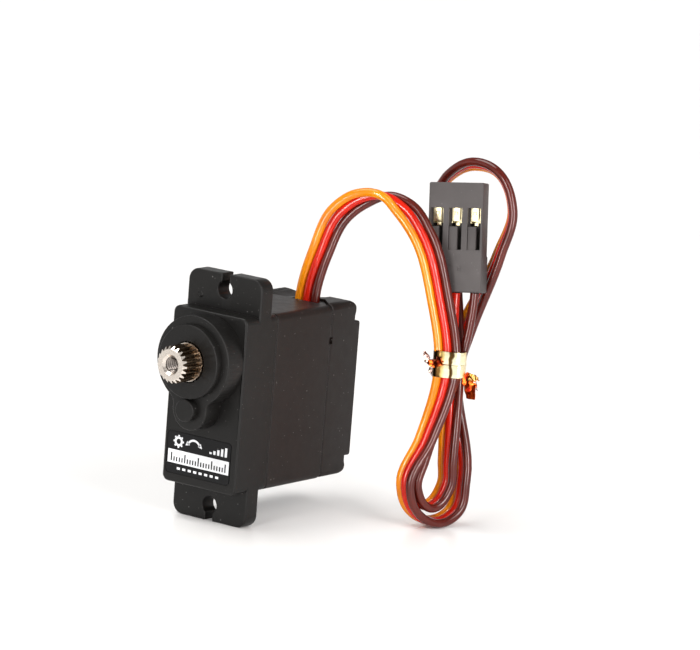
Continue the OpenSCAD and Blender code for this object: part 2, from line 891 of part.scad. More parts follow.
upper_case();
middle_case();
bottom_cover();
case_screws();
label();
output_gear();
front_bearing_outer();
front_bearing_inner();
front_bearing_balls();
front_bearing_cage();
rear_bearing_outer();
rear_bearing_inner();
rear_bearing_balls();
rear_bearing_cage();
first_gear();
second_gear();
third_gear();
idler_axle();
motor_pinion();
motor_shaft();
motor_armature();
motor_windings();
motor_commutator();
motor_can();
motor_magnets();
motor_front_bush();
motor_end_bell();
motor_brushes();
motor_terminals();
pot_housing();
pot_track();
pot_rotor();
pot_wiper();
pot_leads();
circuit_board();
controller_chip();
driver_chips();
board_capacitors();
board_resistors();
lead_clamp();
lead_tails();
lead_orange();
lead_red();
lead_brown();
twist_tie();
plug_housing();
plug_contacts();
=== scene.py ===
"""Looks of the micro servo motor: camera, lead, shells, plug, tie, materials and studio."""
import json
import math

import bpy
import bmesh
from mathutils import Matrix, Vector, noise

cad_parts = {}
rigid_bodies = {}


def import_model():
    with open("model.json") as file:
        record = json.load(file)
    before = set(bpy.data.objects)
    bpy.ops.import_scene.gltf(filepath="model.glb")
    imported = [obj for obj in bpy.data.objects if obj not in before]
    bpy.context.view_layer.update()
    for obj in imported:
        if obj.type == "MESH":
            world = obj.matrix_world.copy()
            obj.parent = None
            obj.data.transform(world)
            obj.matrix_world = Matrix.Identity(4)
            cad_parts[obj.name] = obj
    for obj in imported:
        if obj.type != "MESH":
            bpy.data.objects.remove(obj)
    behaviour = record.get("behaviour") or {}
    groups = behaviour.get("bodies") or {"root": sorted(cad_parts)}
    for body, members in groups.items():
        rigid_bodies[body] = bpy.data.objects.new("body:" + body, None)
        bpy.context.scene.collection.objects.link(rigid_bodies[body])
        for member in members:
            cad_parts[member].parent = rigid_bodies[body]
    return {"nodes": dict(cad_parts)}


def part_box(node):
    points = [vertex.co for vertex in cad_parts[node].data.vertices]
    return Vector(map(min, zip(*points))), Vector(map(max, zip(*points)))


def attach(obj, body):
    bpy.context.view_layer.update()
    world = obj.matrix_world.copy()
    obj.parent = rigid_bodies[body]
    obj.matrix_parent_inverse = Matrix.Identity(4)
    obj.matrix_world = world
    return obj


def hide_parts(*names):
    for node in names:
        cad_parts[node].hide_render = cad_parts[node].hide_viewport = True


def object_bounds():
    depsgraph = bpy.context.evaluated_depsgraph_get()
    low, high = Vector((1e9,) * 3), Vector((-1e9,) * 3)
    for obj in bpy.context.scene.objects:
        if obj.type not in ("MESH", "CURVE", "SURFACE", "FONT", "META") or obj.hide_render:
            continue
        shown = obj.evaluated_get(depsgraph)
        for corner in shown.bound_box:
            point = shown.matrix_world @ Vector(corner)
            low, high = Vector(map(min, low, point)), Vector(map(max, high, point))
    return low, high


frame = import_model()
CAD_NODES = frame["nodes"]
for spare in list(bpy.data.objects):
    if spare.type in ("CAMERA", "LIGHT") or (spare.type == "MESH" and spare.name not in CAD_NODES):
        bpy.data.objects.remove(spare)
CAD_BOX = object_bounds()

# ------------------------------------------------------------------ sizes, in mm unless scaled

MM = 0.001
CASE_HALF_W = 6.0
CASE_HALF_L = 11.5
OUTPUT_Z = 5.4
WIRE_D = 1.15 * MM
WIRE_PITCH = 1.15 * MM
EXIT_PITCH = 1.3 * MM
CAVITY_PITCH = 2.54 * MM
TIE_TURN = 32
TIE_MIDDLE = Vector((18.96, 21.66))
TIE_SPAN = 4.2
TIE_HALF_W = 1.94
TIE_HALF_D = 2.48
TIE_CORNER = 0.95
TIE_BAND_H = 1.66

# Points nearer than this are the same point
WELD = 1e-7

# ------------------------------------------------------------------ camera

# Degrees
VIEW_AZIMUTH = 36.1
VIEW_ELEVATION = 10.35
VIEW_ROLL = 4.49
# Metres
VIEW_DISTANCE = 0.58
VIEW_AIM = Vector((0.00965, 0.01193, 0.00974))
VIEW_NEAR = 0.01
# Millimetres on the film
VIEW_LENS = 231.4
VIEW_FILM = 36


def make_camera():
    """Looks at the servo's front right side from a little above."""
    az, el, roll = (math.radians(a) for a in (VIEW_AZIMUTH, VIEW_ELEVATION, VIEW_ROLL))
    forward = Vector((-math.sin(az) * math.cos(el), math.cos(az) * math.cos(el), -math.sin(el)))
    level = Vector((math.cos(az), math.sin(az), 0))
    right = level * math.cos(roll) + level.cross(forward) * math.sin(roll)
    up = right.cross(forward)
    data = bpy.data.cameras.new("camera")
    data.lens = VIEW_LENS
    data.sensor_width = VIEW_FILM
    data.clip_start = VIEW_NEAR
    camera = bpy.data.objects.new("camera", data)
    bpy.context.scene.collection.objects.link(camera)
    turn = Matrix((right, up, -forward)).transposed().to_4x4()
    camera.matrix_world = Matrix.Translation(VIEW_AIM - forward * VIEW_DISTANCE) @ turn
    bpy.context.scene.camera = camera


# ------------------------------------------------------------------ mesh helpers

def add_object(name, data, body):
    """Links a piece and lets it ride on a body."""
    piece = bpy.data.objects.new(name, data)
    bpy.context.scene.collection.objects.link(piece)
    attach(piece, body)
    return piece


def mesh_from(name, verts, faces):
    """A mesh from its corners and the faces between them."""
    mesh = bpy.data.meshes.new(name)
    mesh.from_pydata([tuple(v) for v in verts], [], faces)
    mesh.update()
    return mesh


def fix_normals(mesh):
    """Joins doubled corners and turns every face outwards."""
    bm = bmesh.new()
    bm.from_mesh(mesh)
    bmesh.ops.remove_doubles(bm, verts=bm.verts, dist=WELD)
    bmesh.ops.recalc_face_normals(bm, faces=bm.faces)
    bm.to_mesh(mesh)
    bm.free()


def shade(mesh, angle=35):
    """Smooth shading that stays crisp at edges sharper than the angle."""
    for face in mesh.polygons:
        face.use_smooth = True
    mesh.set_sharp_from_angle(angle=math.radians(angle))


def baked(piece):
    """Applies a piece's modifiers to its mesh."""
    graph = bpy.context.evaluated_depsgraph_get()
    made = bpy.data.meshes.new_from_object(piece.evaluated_get(graph))
    piece.modifiers.clear()
    piece.data = made


def box_mesh(low, high, bevel=0.0, segments=3):
    """A closed box with all its edges rounded by the bevel."""
    bm = bmesh.new()
    bmesh.ops.create_cube(bm, size=1)
    low, high = Vector(low), Vector(high)
    for v in bm.verts:
        v.co = Vector([(low[i] + high[i]) / 2 + v.co[i] * (high[i] - low[i]) for i in range(3)])
    if bevel:
        bmesh.ops.bevel(bm, geom=bm.edges[:], offset=bevel, segments=segments,
                        profile=0.5, affect="EDGES")
    return bm


def mm_box(x0, y0, z0, x1, y1, z1, bevel=0.0, segments=3):
    """A box with its corners and bevel given in mm."""
    return box_mesh(Vector((x0, y0, z0)) * MM, Vector((x1, y1, z1)) * MM, bevel * MM, segments)


def one_material(mesh, material):
    """Gives every face of a mesh the same material."""
    mesh.materials.clear()
    mesh.materials.append(material)
    for face in mesh.polygons:
        face.material_index = 0


def cut_or_join(piece, bm, operation):
    """Boolean of a piece with a helper solid."""
    data = bpy.data.meshes.new("helper")
    bm.to_mesh(data)
    bm.free()
    helper = bpy.data.objects.new("helper", data)
    bpy.context.scene.collection.objects.link(helper)
    helper.matrix_world = piece.matrix_world
    step = piece.modifiers.new("step", "BOOLEAN")
    step.operation = operation
    step.solver = "EXACT"
    step.object = helper
    bpy.context.view_layer.update()
    baked(piece)
    bpy.data.objects.remove(helper)


# ------------------------------------------------------------------ materials

DUST = (0.32, 0.31, 0.3, 1)
# Painted reflections on the tie's band: dark umber stripes, gold, bright cream stripes
UMBER_DARK_REFLECTION = (0.1, 0.05, 0.014)
LEAF_GOLD = (0.8, 0.58, 0.2)
CREAM_BRIGHT_REFLECTION = (1.0, 0.9, 0.6)
# Painted shade and the lit nickel for the shaft's splines: dark flanks and bore, bright end faces
NICKEL_PAINTED_SHADE = (0.2, 0.14, 0.09)
NICKEL = (0.66, 0.6, 0.54)
MASK_LIGHT = (0.03, 0.2, 0.08, 1)
MASK_DARK = (0.02, 0.14, 0.06, 1)
MASK_TRACK = (0.05, 0.3, 0.12, 1)
FLOOR_SHADE = (0.9, 0.895, 0.89)
FLOOR_WHITE = (0.92, 0.915, 0.91)


class Shader:
    """A node material with short calls for the nodes that the finishes share."""

    def __init__(self, name, roughness, metallic=0.0, specular=0.5):
        self.material = bpy.data.materials.new(name)
        self.material.use_nodes = True
        self.nodes = self.material.node_tree.nodes
        self.links = self.material.node_tree.links
        self.bsdf = self.nodes["Principled BSDF"]
        self.bsdf.inputs["Roughness"].default_value = roughness
        self.bsdf.inputs["Metallic"].default_value = metallic
        self.bsdf.inputs["Specular IOR Level"].default_value = specular
        self.coords = self.nodes.new("ShaderNodeTexCoord").outputs["Object"]

    def stretched(self, scale):
        """Object coordinates scaled along each axis."""
        mapping = self.nodes.new("ShaderNodeMapping")
        mapping.inputs["Scale"].default_value = scale
        self.links.new(self.coords, mapping.inputs["Vector"])
        return mapping.outputs["Vector"]

    def noise(self, scale, detail=3.0, vector=None, distortion=0.0):
        """Cloudy values from 0 to 1, with the scale in waves per metre."""
        node = self.nodes.new("ShaderNodeTexNoise")
        node.inputs["Scale"].default_value = scale
        node.inputs["Detail"].default_value = detail
        node.inputs["Distortion"].default_value = distortion
        self.links.new(vector or self.coords, node.inputs["Vector"])
        return node.outputs["Fac"]

    def ramp(self, value, stops):
        """Colours placed along a value, each stop is (place, colour)."""
        node = self.nodes.new("ShaderNodeValToRGB")
        points = node.color_ramp.elements
        while len(points) < len(stops):
            points.new(0.5)
        for point, (place, colour) in zip(points, stops):
            point.position = place
            point.color = (*colour, 1)
        self.links.new(value, node.inputs["Fac"])
        return node.outputs["Color"]

    def spread(self, value, low, high, start=0.3, end=0.7):
        """Maps a value's stretch from start to end onto low to high."""
        node = self.nodes.new("ShaderNodeMapRange")
        node.inputs["From Min"].default_value = start
        node.inputs["From Max"].default_value = end
        node.inputs["To Min"].default_value = low
        node.inputs["To Max"].default_value = high
        self.links.new(value, node.inputs["Value"])
        return node.outputs["Result"]

    def colour(self, value):
        self.links.new(value, self.bsdf.inputs["Base Color"])

    def roughness(self, value, low, high):
        self.links.new(self.spread(value, low, high), self.bsdf.inputs["Roughness"])

    def bump(self, heights):
        """Stacks bumps, each (value, depth in metres)."""
        last = None
        for value, depth in heights:
            node = self.nodes.new("ShaderNodeBump")
            node.inputs["Strength"].default_value = 1.0
            node.inputs["Distance"].default_value = depth
            self.links.new(value, node.inputs["Height"])
            if last:
                self.links.new(last, node.inputs["Normal"])
            last = node.outputs["Normal"]
        self.links.new(last, self.bsdf.inputs["Normal"])


def scaled(colour, factor):
    """A lighter or darker copy of a colour."""
    return tuple(min(1.0, c * factor) for c in colour)


def moulded(name, colour, roughness=0.45, grain=0.004, grain_size=0.09, specular=0.5):
    """Moulded plastic: a fine eroded grain, faint flow marks and a few pale specks of dust."""
    s = Shader(name, roughness, specular=specular)
    flow = s.noise(140, 4)
    speck = s.noise(3200, 1)
    fine = s.noise(1 / (grain_size * MM), 2)
    base = s.ramp(flow, [(0.3, scaled(colour, 0.82)), (0.7, scaled(colour, 1.2))])
    mix = s.nodes.new("ShaderNodeMix")
    mix.data_type = "RGBA"
    s.links.new(s.spread(speck, 0.0, 0.35, 0.74, 0.8), mix.inputs["Factor"])
    s.links.new(base, mix.inputs[6])
    mix.inputs[7].default_value = DUST
    s.colour(mix.outputs[2])
    s.roughness(s.noise(900, 3), roughness - 0.025, roughness + 0.045)
    s.bump([(fine, grain * MM), (flow, 0.006 * MM)])
    return s.material


def metal(name, colour, roughness=0.25, brush=(1, 1, 1), depth=0.0015, stain=0.8):
    """Machined or plated metal: fine tool marks along one direction and slight staining."""
    s = Shader(name, roughness, metallic=1.0)
    marks = s.noise(2500, 3, s.stretched(brush))
    tone = s.noise(420, 4)
    s.colour(s.ramp(tone, [(0.32, scaled(colour, stain)), (0.62, colour)]))
    s.roughness(marks, roughness - 0.06, roughness + 0.12)
    s.bump([(marks, depth * MM)])
    return s.material


def insulation(name, colour, deep, specular):
    """Glossy soft insulation with a darker tone in patches."""
    s = Shader(name, 0.18, specular=specular)
    s.colour(s.ramp(s.noise(260, 3), [(0.25, deep), (0.6, colour)]))
    s.roughness(s.noise(1500, 3), 0.07, 0.13)
    s.bump([(s.noise(5200, 2), 0.0004 * MM)])
    return s.material


def foil_painted_reflections(name, colour, dark_reflection):
    """Metallised film: mirror-like with fine creases, and darker patches painted in as
    reflections.
    """
    s = Shader(name, 0.18, metallic=1.0)
    crease = s.noise(900, 2, distortion=0.4)
    # Painted reflections: darker patches, placed at random by noise, in the film's colour
    s.colour(s.ramp(s.noise(650, 2), [(0.38, dark_reflection), (0.56, colour)]))
    s.roughness(crease, 0.16, 0.34)
    s.bump([(crease, 0.03 * MM)])
    return s.material


def band_painted_reflections(name):
    """Gold film with painted reflections in stripes along the bundle: dark umber stripes and
    bright cream between.
    """
    s = Shader(name, 0.2, metallic=1.0)
    across = s.nodes.new("ShaderNodeMapping")
    across.vector_type = "TEXTURE"
    turn = math.radians(TIE_TURN)
    side = Vector((math.cos(turn), math.sin(turn)))
    start = TIE_MIDDLE - side * TIE_SPAN / 2
    across.inputs["Location"].default_value = (start.x * MM, start.y * MM, 0)
    across.inputs["Rotation"].default_value = (0, 0, turn)
    across.inputs["Scale"].default_value = (TIE_SPAN * MM, TIE_SPAN * MM, 1)
    s.links.new(s.coords, across.inputs["Vector"])
    split = s.nodes.new("ShaderNodeSeparateXYZ")
    s.links.new(across.outputs["Vector"], split.inputs["Vector"])
    shift = s.nodes.new("ShaderNodeMath")
    s.links.new(split.outputs["X"], shift.inputs[0])
    s.links.new(s.spread(s.noise(500, 2), -0.07, 0.07), shift.inputs[1])
    # Painted reflections: dark umber and bright cream stripes across the band, their edges shifted
    # by noise
    s.colour(s.ramp(shift.outputs["Value"], [
        (0.0, UMBER_DARK_REFLECTION), (0.24, UMBER_DARK_REFLECTION), (0.3, LEAF_GOLD), (0.38, CREAM_BRIGHT_REFLECTION), (0.5, CREAM_BRIGHT_REFLECTION), (0.54, UMBER_DARK_REFLECTION),
        (0.62, UMBER_DARK_REFLECTION), (0.66, CREAM_BRIGHT_REFLECTION), (0.92, CREAM_BRIGHT_REFLECTION), (1.0, LEAF_GOLD),
    ]))
    s.roughness(s.noise(1500, 5), 0.14, 0.26)
    s.bump([(s.noise(900, 3), 0.02 * MM)])
    return s.material


def spline_lit_and_shaded(name):
    """Bright turned end faces; painted shade, dark, on the flanks and the bore, set by which way
    each face turns.
    """
    s = Shader(name, 0.24, metallic=1.0)
    normal = s.nodes.new("ShaderNodeSeparateXYZ")
    s.links.new(s.nodes["Texture Coordinate"].outputs["Normal"], normal.inputs["Vector"])
    facing = s.nodes.new("ShaderNodeMath")
    facing.operation = "ABSOLUTE"
    s.links.new(normal.outputs["Y"], facing.inputs[0])
    # Painted shade: faces that turn away from the shaft's axis get the dark colour, end faces the
    # bright nickel
    s.colour(s.ramp(facing.outputs["Value"], [(0.15, NICKEL_PAINTED_SHADE), (0.6, NICKEL)]))
    s.roughness(s.noise(2500, 3, s.stretched((1, 0.15, 1))), 0.18, 0.34)
    s.bump([(s.noise(3000, 3), 0.0015 * MM)])
    return s.material


def board_finish(name):
    """Green solder mask with the faint relief of copper tracks."""
    s = Shader(name, 0.35)
    brick = s.nodes.new("ShaderNodeTexBrick")
    brick.inputs["Scale"].default_value = 900
    brick.inputs["Color1"].default_value = MASK_LIGHT
    brick.inputs["Color2"].default_value = MASK_DARK
    brick.inputs["Mortar"].default_value = MASK_TRACK
    s.links.new(s.coords, brick.inputs["Vector"])
    s.colour(brick.outputs["Color"])
    s.roughness(s.noise(800, 3), 0.3, 0.45)
    s.bump([(brick.outputs["Fac"], 0.01 * MM), (s.noise(4000, 2), 0.002 * MM)])
    return s.material


def floor_finish():
    """Glossy white studio floor."""
    s = Shader("studio_white", 0.22, specular=0.35)
    s.colour(s.ramp(s.noise(3, 2), [(0.3, FLOOR_SHADE), (0.7, FLOOR_WHITE)]))
    s.roughness(s.noise(30, 2), 0.2, 0.26)
    return s.material


NYLON = moulded("black_nylon", (0.0046, 0.0042, 0.0038), 0.42, 0.006, 0.11, 0.25)
NYLON_MID = moulded("black_nylon_warm", (0.0062, 0.0034, 0.0027), 0.45, 0.006, 0.11, 0.285)
PLUG_GREY = moulded("plug_grey", (0.06, 0.053, 0.052), 0.5, 0.004, 0.12, 0.35)
LABEL_BLACK = moulded("label_black", (0.006, 0.006, 0.0065), 0.34, 0.0015, 0.2, 0.16)
LABEL_WHITE = moulded("label_white", (0.75, 0.76, 0.78), 0.35, 0.001, 0.2)
# The shaft's nickel, with painted shade on the flanks and bore
SHAFT_LIT_AND_SHADED = spline_lit_and_shaded("shaft_nickel_lit_and_shaded")
# Steel painted darker for the thread, as shade inside the bore
THREAD_PAINTED_SHADE = metal("thread_steel_painted_shade", (0.26, 0.23, 0.21), 0.26, (1, 1, 1), 0.002)
BEARING_STEEL = metal("bearing_steel", (0.66, 0.66, 0.67), 0.16, (1, 0.2, 1), 0.001)
GEAR_BRASS = metal("gear_brass", (0.78, 0.6, 0.3), 0.28, (1, 0.3, 1))
GEAR_STEEL = metal("gear_steel", (0.55, 0.53, 0.5), 0.3, (1, 0.3, 1))
SCREW_ZINC = metal("screw_zinc", (0.24, 0.235, 0.23), 0.36, (1, 1, 1), 0.003)
CAN_STEEL = metal("can_nickel", (0.58, 0.59, 0.6), 0.25, (1, 0.1, 1))
MAGNET = metal("magnet", (0.12, 0.12, 0.13), 0.6, (1, 1, 1), 0.004)
LAMINATION = metal("lamination", (0.38, 0.38, 0.4), 0.42, (0.2, 12, 0.2), 0.004)
COPPER = metal("copper", (0.72, 0.33, 0.15), 0.3, (1, 4, 1), 0.005)
GOLD = metal("gold_plate", (0.9, 0.79, 0.5), 0.32, (1, 1, 1), 0.002, 0.8)
TIN = metal("tinned", (0.7, 0.7, 0.68), 0.32, (1, 1, 1), 0.004)
DARK_PLASTIC = moulded("dark_plastic", (0.05, 0.05, 0.052), 0.5)
GREEN_PLASTIC = moulded("green_plastic", (0.05, 0.16, 0.09), 0.5)
NATURAL_PLASTIC = moulded("natural_plastic", (0.72, 0.7, 0.62), 0.4)
EPOXY = moulded("epoxy_package", (0.022, 0.022, 0.024), 0.55)
CERAMIC = moulded("ceramic", (0.42, 0.27, 0.13), 0.5)
BOARD = board_finish("solder_mask")
# The tie's band, with painted reflections in its colour
BAND_FOIL_PAINTED_REFLECTIONS = band_painted_reflections("gold_foil")
# Red painted on the foil as a reflection of the red and orange wires
FOIL_PAINTED_RED_REFLECTION = foil_painted_reflections("foil_painted_red_reflection", (0.95, 0.17, 0.025), (0.3, 0.012, 0.006))
GOLD_FOIL = foil_painted_reflections("foil_back", (0.85, 0.5, 0.16), (0.3, 0.12, 0.03))
PALE_FOIL = foil_painted_reflections("pale_foil", (0.95, 0.72, 0.62), (0.22, 0.09, 0.08))
WIRES = {
    "orange": insulation("wire_orange", (0.72, 0.23, 0.004), (0.62, 0.15, 0.003), 0.28),
    "red": insulation("wire_red", (0.53, 0.012, 0.003), (0.42, 0.008, 0.002), 0.26),
    "brown": insulation("wire_brown", (0.088, 0.009, 0.005), (0.055, 0.005, 0.003), 0.36),
}

# ------------------------------------------------------------------ lead

# Route of the middle wire: x, y, z in metres, then turn and lift in degrees of
# the line through the three wires
ROUTE = [
    (0.0013, 0.0135, 0.0109, 0, 0),
    (0.0026, 0.0139, 0.018, 16, -5),
    (0.0046, 0.015, 0.0235, 40, -35),
    (0.0072, 0.0162, 0.0257, 70, -32),
    (0.0096, 0.0172, 0.0262, 112, -8),
    (0.0122, 0.0181, 0.025, 72, 28),
    (0.0153, 0.0185, 0.0218, 44, 20),
    (0.0182, 0.0195, 0.0136, 30, 8),
    (0.01975, 0.02, 0.0056, 32, 0),
    (0.0185, 0.0183, -0.0045, -8, 0),
    (0.0175, 0.016, -0.0104, -20, 0),
    (0.0181, 0.0174, -0.014, -20, 0),
    (0.0195, 0.0206, -0.0155, -20, 0),
    (0.0204, 0.0234, -0.0142, -20, 0),
    (0.0206, 0.0242, -0.01, -20, 0),
    (0.0181, 0.0233, 0.0048, 32, 0),
    (0.0188, 0.0249, 0.0095, -10, 0),
    (0.0222, 0.0262, 0.0198, -42, 0),
    (0.0234, 0.0266, 0.0258, -50, 0),
    (0.0205, 0.0266, 0.0303, -52, 12),
    (0.017, 0.0266, 0.0308, -58, 24),
    (0.0126, 0.0269, 0.0284, -66, 14),
    (0.0162, 0.0244, 0.0142, 10, 0),
    (0.0188, 0.0223, 0.0048, 32, 0),
    (0.01965, 0.022, -0.0076, -16, 0),
    (0.01965, 0.022, -0.011, -20, 0),
    (0.0188, 0.0196, -0.0135, -20, 0),
    (0.0179, 0.0172, -0.0108, -20, 0),
    (0.01815, 0.0179, -0.007, -16, 0),
    (0.01945, 0.0212, 0.0048, 32, 0),
    (0.0188, 0.022, 0.0146, 17, 6),
]


def wire_points(offset):
    """The points of the wire that lies offset places beside the middle one."""
    pitches = [EXIT_PITCH] + [WIRE_PITCH] * (len(ROUTE) - 2) + [CAVITY_PITCH]
    points = []
    for (x, y, z, turn, lift), pitch in zip(ROUTE, pitches):
        turn, lift = math.radians(turn), math.radians(lift)
        level = math.cos(lift)
        side = Vector((level * math.cos(turn), level * math.sin(turn), math.sin(lift)))
        points.append(Vector((x, y, z)) + side * offset * pitch)
    return points


def smooth_tangent(points, k):
    """Direction of a smooth curve at point k, leaning towards the nearer neighbour."""
    if k in (0, len(points) - 1):
        return Vector((0, 0, 1))
    back, ahead = points[k] - points[k - 1], points[k + 1] - points[k]
    mean = back / back.length * ahead.length + ahead / ahead.length * back.length
    return mean.normalized()


def arc_reach(points, tangents, k):
    """Handle length that makes the stretch from point k a true arc when it turns evenly."""
    turning = max(-1.0, tangents[k].dot(tangents[k + 1]))
    return (points[k + 1] - points[k]).length * 2 / 3 / (1 + math.sqrt((1 + turning) / 2))


def make_wire(name, node, offset, material):
    """One insulated wire as a smooth curve through the route's points."""
    points = wire_points(offset)
    curve = bpy.data.curves.new(name, "CURVE")
    curve.dimensions = "3D"
    curve.bevel_depth = WIRE_D / 2
    curve.bevel_resolution = 5
    curve.resolution_u = 10
    curve.use_fill_caps = True
    spline = curve.splines.new("BEZIER")
    spline.bezier_points.add(len(points) - 1)
    tangents = [smooth_tangent(points, k) for k in range(len(points))]
    reaches = [arc_reach(points, tangents, k) for k in range(len(points) - 1)]
    for k, knot in enumerate(spline.bezier_points):
        knot.co = points[k]
        knot.handle_left_type = knot.handle_right_type = "FREE"
        knot.handle_left = points[k] - tangents[k] * reaches[max(k - 1, 0)]
        knot.handle_right = points[k] + tangents[k] * reaches[min(k, len(reaches) - 1)]
    curve.materials.append(material)
    wire = add_object(name, curve, "case")
    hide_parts(node)
    return wire


# ------------------------------------------------------------------ case shells

# Edges that turn more than SHARP are rounded; faces that turn less than FLAT are one plane
SHARP = math.radians(30)
FLAT = math.radians(0.05)
LONGEST_EDGE = 0.8 * MM
WIDEST_ROUND = 0.4 * MM

# Depths along Y in mm, from the shaft's end of the case to its rear
DISC_Y = -8.4
TOWER_Y = -7.9
FRONT_Y = -4.9
FLANGE_FRONT_Y = -2.3
FLANGE_REAR_Y = 0.1
SKIRT_Y = 1.3
FIRST_SEAM_Y = 1.5
SEAM_Y = 13.0
COVER_REAR_Y = 18

# Places across the case in mm
CORNER_X, CORNER_Z = 5, 10.55
COVER_END_TOP_Z, COVER_END_LOW_Z, COVER_CORNER_Z = 11.05, -11.25, 10.4
PLATEAU_SIDE_Z = 10
SLOT_SIDE_X, HOLE_INNER_Z = 1.4, 12.5
DISC_R = 5.4
NEAR = 0.05
SLACK = 0.1

# Edge radii in mm
SEAM_RADIUS = 0.2
FLANGE_RADIUS = 0.22
SLOT_RADIUS = 0.12
DISC_RADIUS = 0.12
RIM_RADIUS = 0.16
FRONT_RADIUS = 0.3
BLOCK_RADIUS = 0.15
PLATEAU_RADIUS = 0.25


def even_triangles(bm, longest):
    """Splits long sharp edges and evens out the triangles of the flat faces between them."""
    sharp = [e for e in bm.edges if e.calc_face_angle() > SHARP and e.calc_length() > longest]
    for edge in sharp:
        bmesh.ops.subdivide_edges(bm, edges=[edge], cuts=int(edge.calc_length() / longest))
    bmesh.ops.triangulate(bm, faces=bm.faces[:], quad_method="BEAUTY", ngon_method="BEAUTY")
    for _ in range(3):
        flat = [e for e in bm.edges if e.calc_face_angle() < FLAT]
        bmesh.ops.beautify_fill(bm, faces=bm.faces[:], edges=flat, method="ANGLE")


def weigh_edges(bm, radius_at):
    """Writes each sharp outer edge's radius as its bevel weight."""
    layers = bm.edges.layers.float
    weight = layers.get("bevel_weight_edge") or layers.new("bevel_weight_edge")
    for edge in bm.edges:
        if edge.is_convex and edge.calc_face_angle() > SHARP:
            middle = (edge.verts[0].co + edge.verts[1].co) / 2
            edge[weight] = radius_at(middle / MM) * MM / WIDEST_ROUND


def rounded_copy(name, node, radius_at, material):
    """A CAD shell with its outer edges rounded. radius_at gives the radius at a point in mm."""
    bm = bmesh.new()
    bm.from_mesh(CAD_NODES[node].data)
    bmesh.ops.remove_doubles(bm, verts=bm.verts, dist=WELD)
    bmesh.ops.dissolve_limit(bm, angle_limit=FLAT, verts=bm.verts, edges=bm.edges)
    even_triangles(bm, LONGEST_EDGE)
    weigh_edges(bm, radius_at)
    mesh = bpy.data.meshes.new(name)
    bm.to_mesh(mesh)
    bm.free()
    if "custom_normal" in mesh.attributes:
        mesh.attributes.remove(mesh.attributes["custom_normal"])
    one_material(mesh, material)
    piece = add_object(name, mesh, "case")
    bevel = piece.modifiers.new("round", "BEVEL")
    bevel.width = WIDEST_ROUND
    bevel.segments = 3
    bevel.limit_method = "WEIGHT"
    bevel.use_clamp_overlap = False
    bevel.loop_slide = False
    baked(piece)
    shade(piece.data, 35)
    piece.modifiers.new("even", "WEIGHTED_NORMAL").keep_sharp = True
    baked(piece)
    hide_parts(node)


def outside(p):
    """Whether a point in mm lies on the case's outer faces or their rounded corners."""
    on_corner = abs(p.x) > CORNER_X and abs(p.z) > CORNER_Z
    return abs(p.x) > CASE_HALF_W - NEAR or abs(p.z) > CASE_HALF_L - NEAR or on_corner


def housing_front_radius(p):
    """The seam, the flange ends, the disc, the tower's rim and the front block's outer edges."""
    if p.y > FLANGE_REAR_Y:
        return SEAM_RADIUS if outside(p) and p.y > SKIRT_Y else 0
    if abs(p.z) > CASE_HALF_L + SLACK:
        beside_slot = abs(p.x) > SLOT_SIDE_X or abs(p.z) < HOLE_INNER_Z
        return FLANGE_RADIUS if beside_slot else SLOT_RADIUS
    if p.y < DISC_Y:
        return DISC_RADIUS
    if p.y < TOWER_Y:
        past_disc = math.hypot(p.x, p.z - OUTPUT_Z) > DISC_R or p.z < 0
        return RIM_RADIUS if past_disc else 0
    if p.y < FLANGE_FRONT_Y and outside(p):
        return FRONT_RADIUS if p.y < FRONT_Y else BLOCK_RADIUS
    return 0


def housing_middle_radius(p):
    """The two seams' edges."""
    at_seam = p.y < FIRST_SEAM_Y or p.y > SEAM_Y - SLACK
    return SEAM_RADIUS if outside(p) and at_seam else 0


def housing_rear_radius(p):
    """The seam's edge and the plateau's long edges."""
    on_corner = abs(p.x) > CORNER_X and abs(p.z) > COVER_CORNER_Z
    on_end = p.z > COVER_END_TOP_Z or p.z < COVER_END_LOW_Z or on_corner
    on_side = abs(p.x) > CASE_HALF_W - NEAR
    if p.y < SEAM_Y + SLACK and (on_end or on_side):
        return SEAM_RADIUS
    if p.y > COVER_REAR_Y and on_side and abs(p.z) < PLATEAU_SIDE_Z:
        return PLATEAU_RADIUS
    return 0


# ------------------------------------------------------------------ label

# Sizes on the label, as x and z in mm
LABEL_FACE_Y = -5.07
PRINT_T = 0.012
BAND = (-5.2, -8.95, 4.75, -7.2)
COG_AT, COG_R = (-3.6, -6.05), 0.85
ARROW_AT, ARROW_R = (-1.1, -6.6), (0.95, 1.22)
ARROW_TIPS = [
    [(-2.45, -6.35), (-1.75, -6.2), (-2.2, -5.72)],
    [(0.25, -6.35), (-0.45, -6.2), (0, -5.72)],
]
BARS_AT, BARS_PITCH, BAR_W, BAR_RISE = (1.5, -6.7), 0.62, 0.36, 0.24
DASHES_AT, DASH_PITCH, DASH_W, DASH_H = (-3.6, -9.72), 0.9, 0.5, 0.3
TICKS_AT, TICK_PITCH, TICK_HALF_W = (-4.6, -8.7), 0.44, 0.1
LONG_TICK, SHORT_TICK = 1.1, 0.6


def flat_print(name, outlines, face_y, material):
    """Closed thin prints on the label. Each outline is a list of (x, z) in mm."""
    verts, faces = [], []
    for outline in outlines:
        start, n = len(verts), len(outline)
        for y in (face_y, face_y - PRINT_T):
            verts += [Vector((x, y, z)) * MM for x, z in outline]
        faces.append([start + k for k in range(n)])
        faces.append([start + n + k for k in reversed(range(n))])
        for k in range(n):
            after = (k + 1) % n
            faces.append([start + k, start + after, start + n + after, start + n + k])
    mesh = mesh_from(name, verts, faces)
    fix_normals(mesh)
    mesh.materials.append(material)
    add_object(name, mesh, "case")


def bar(x0, z0, x1, z1):
    return [(x0, z0), (x1, z0), (x1, z1), (x0, z1)]


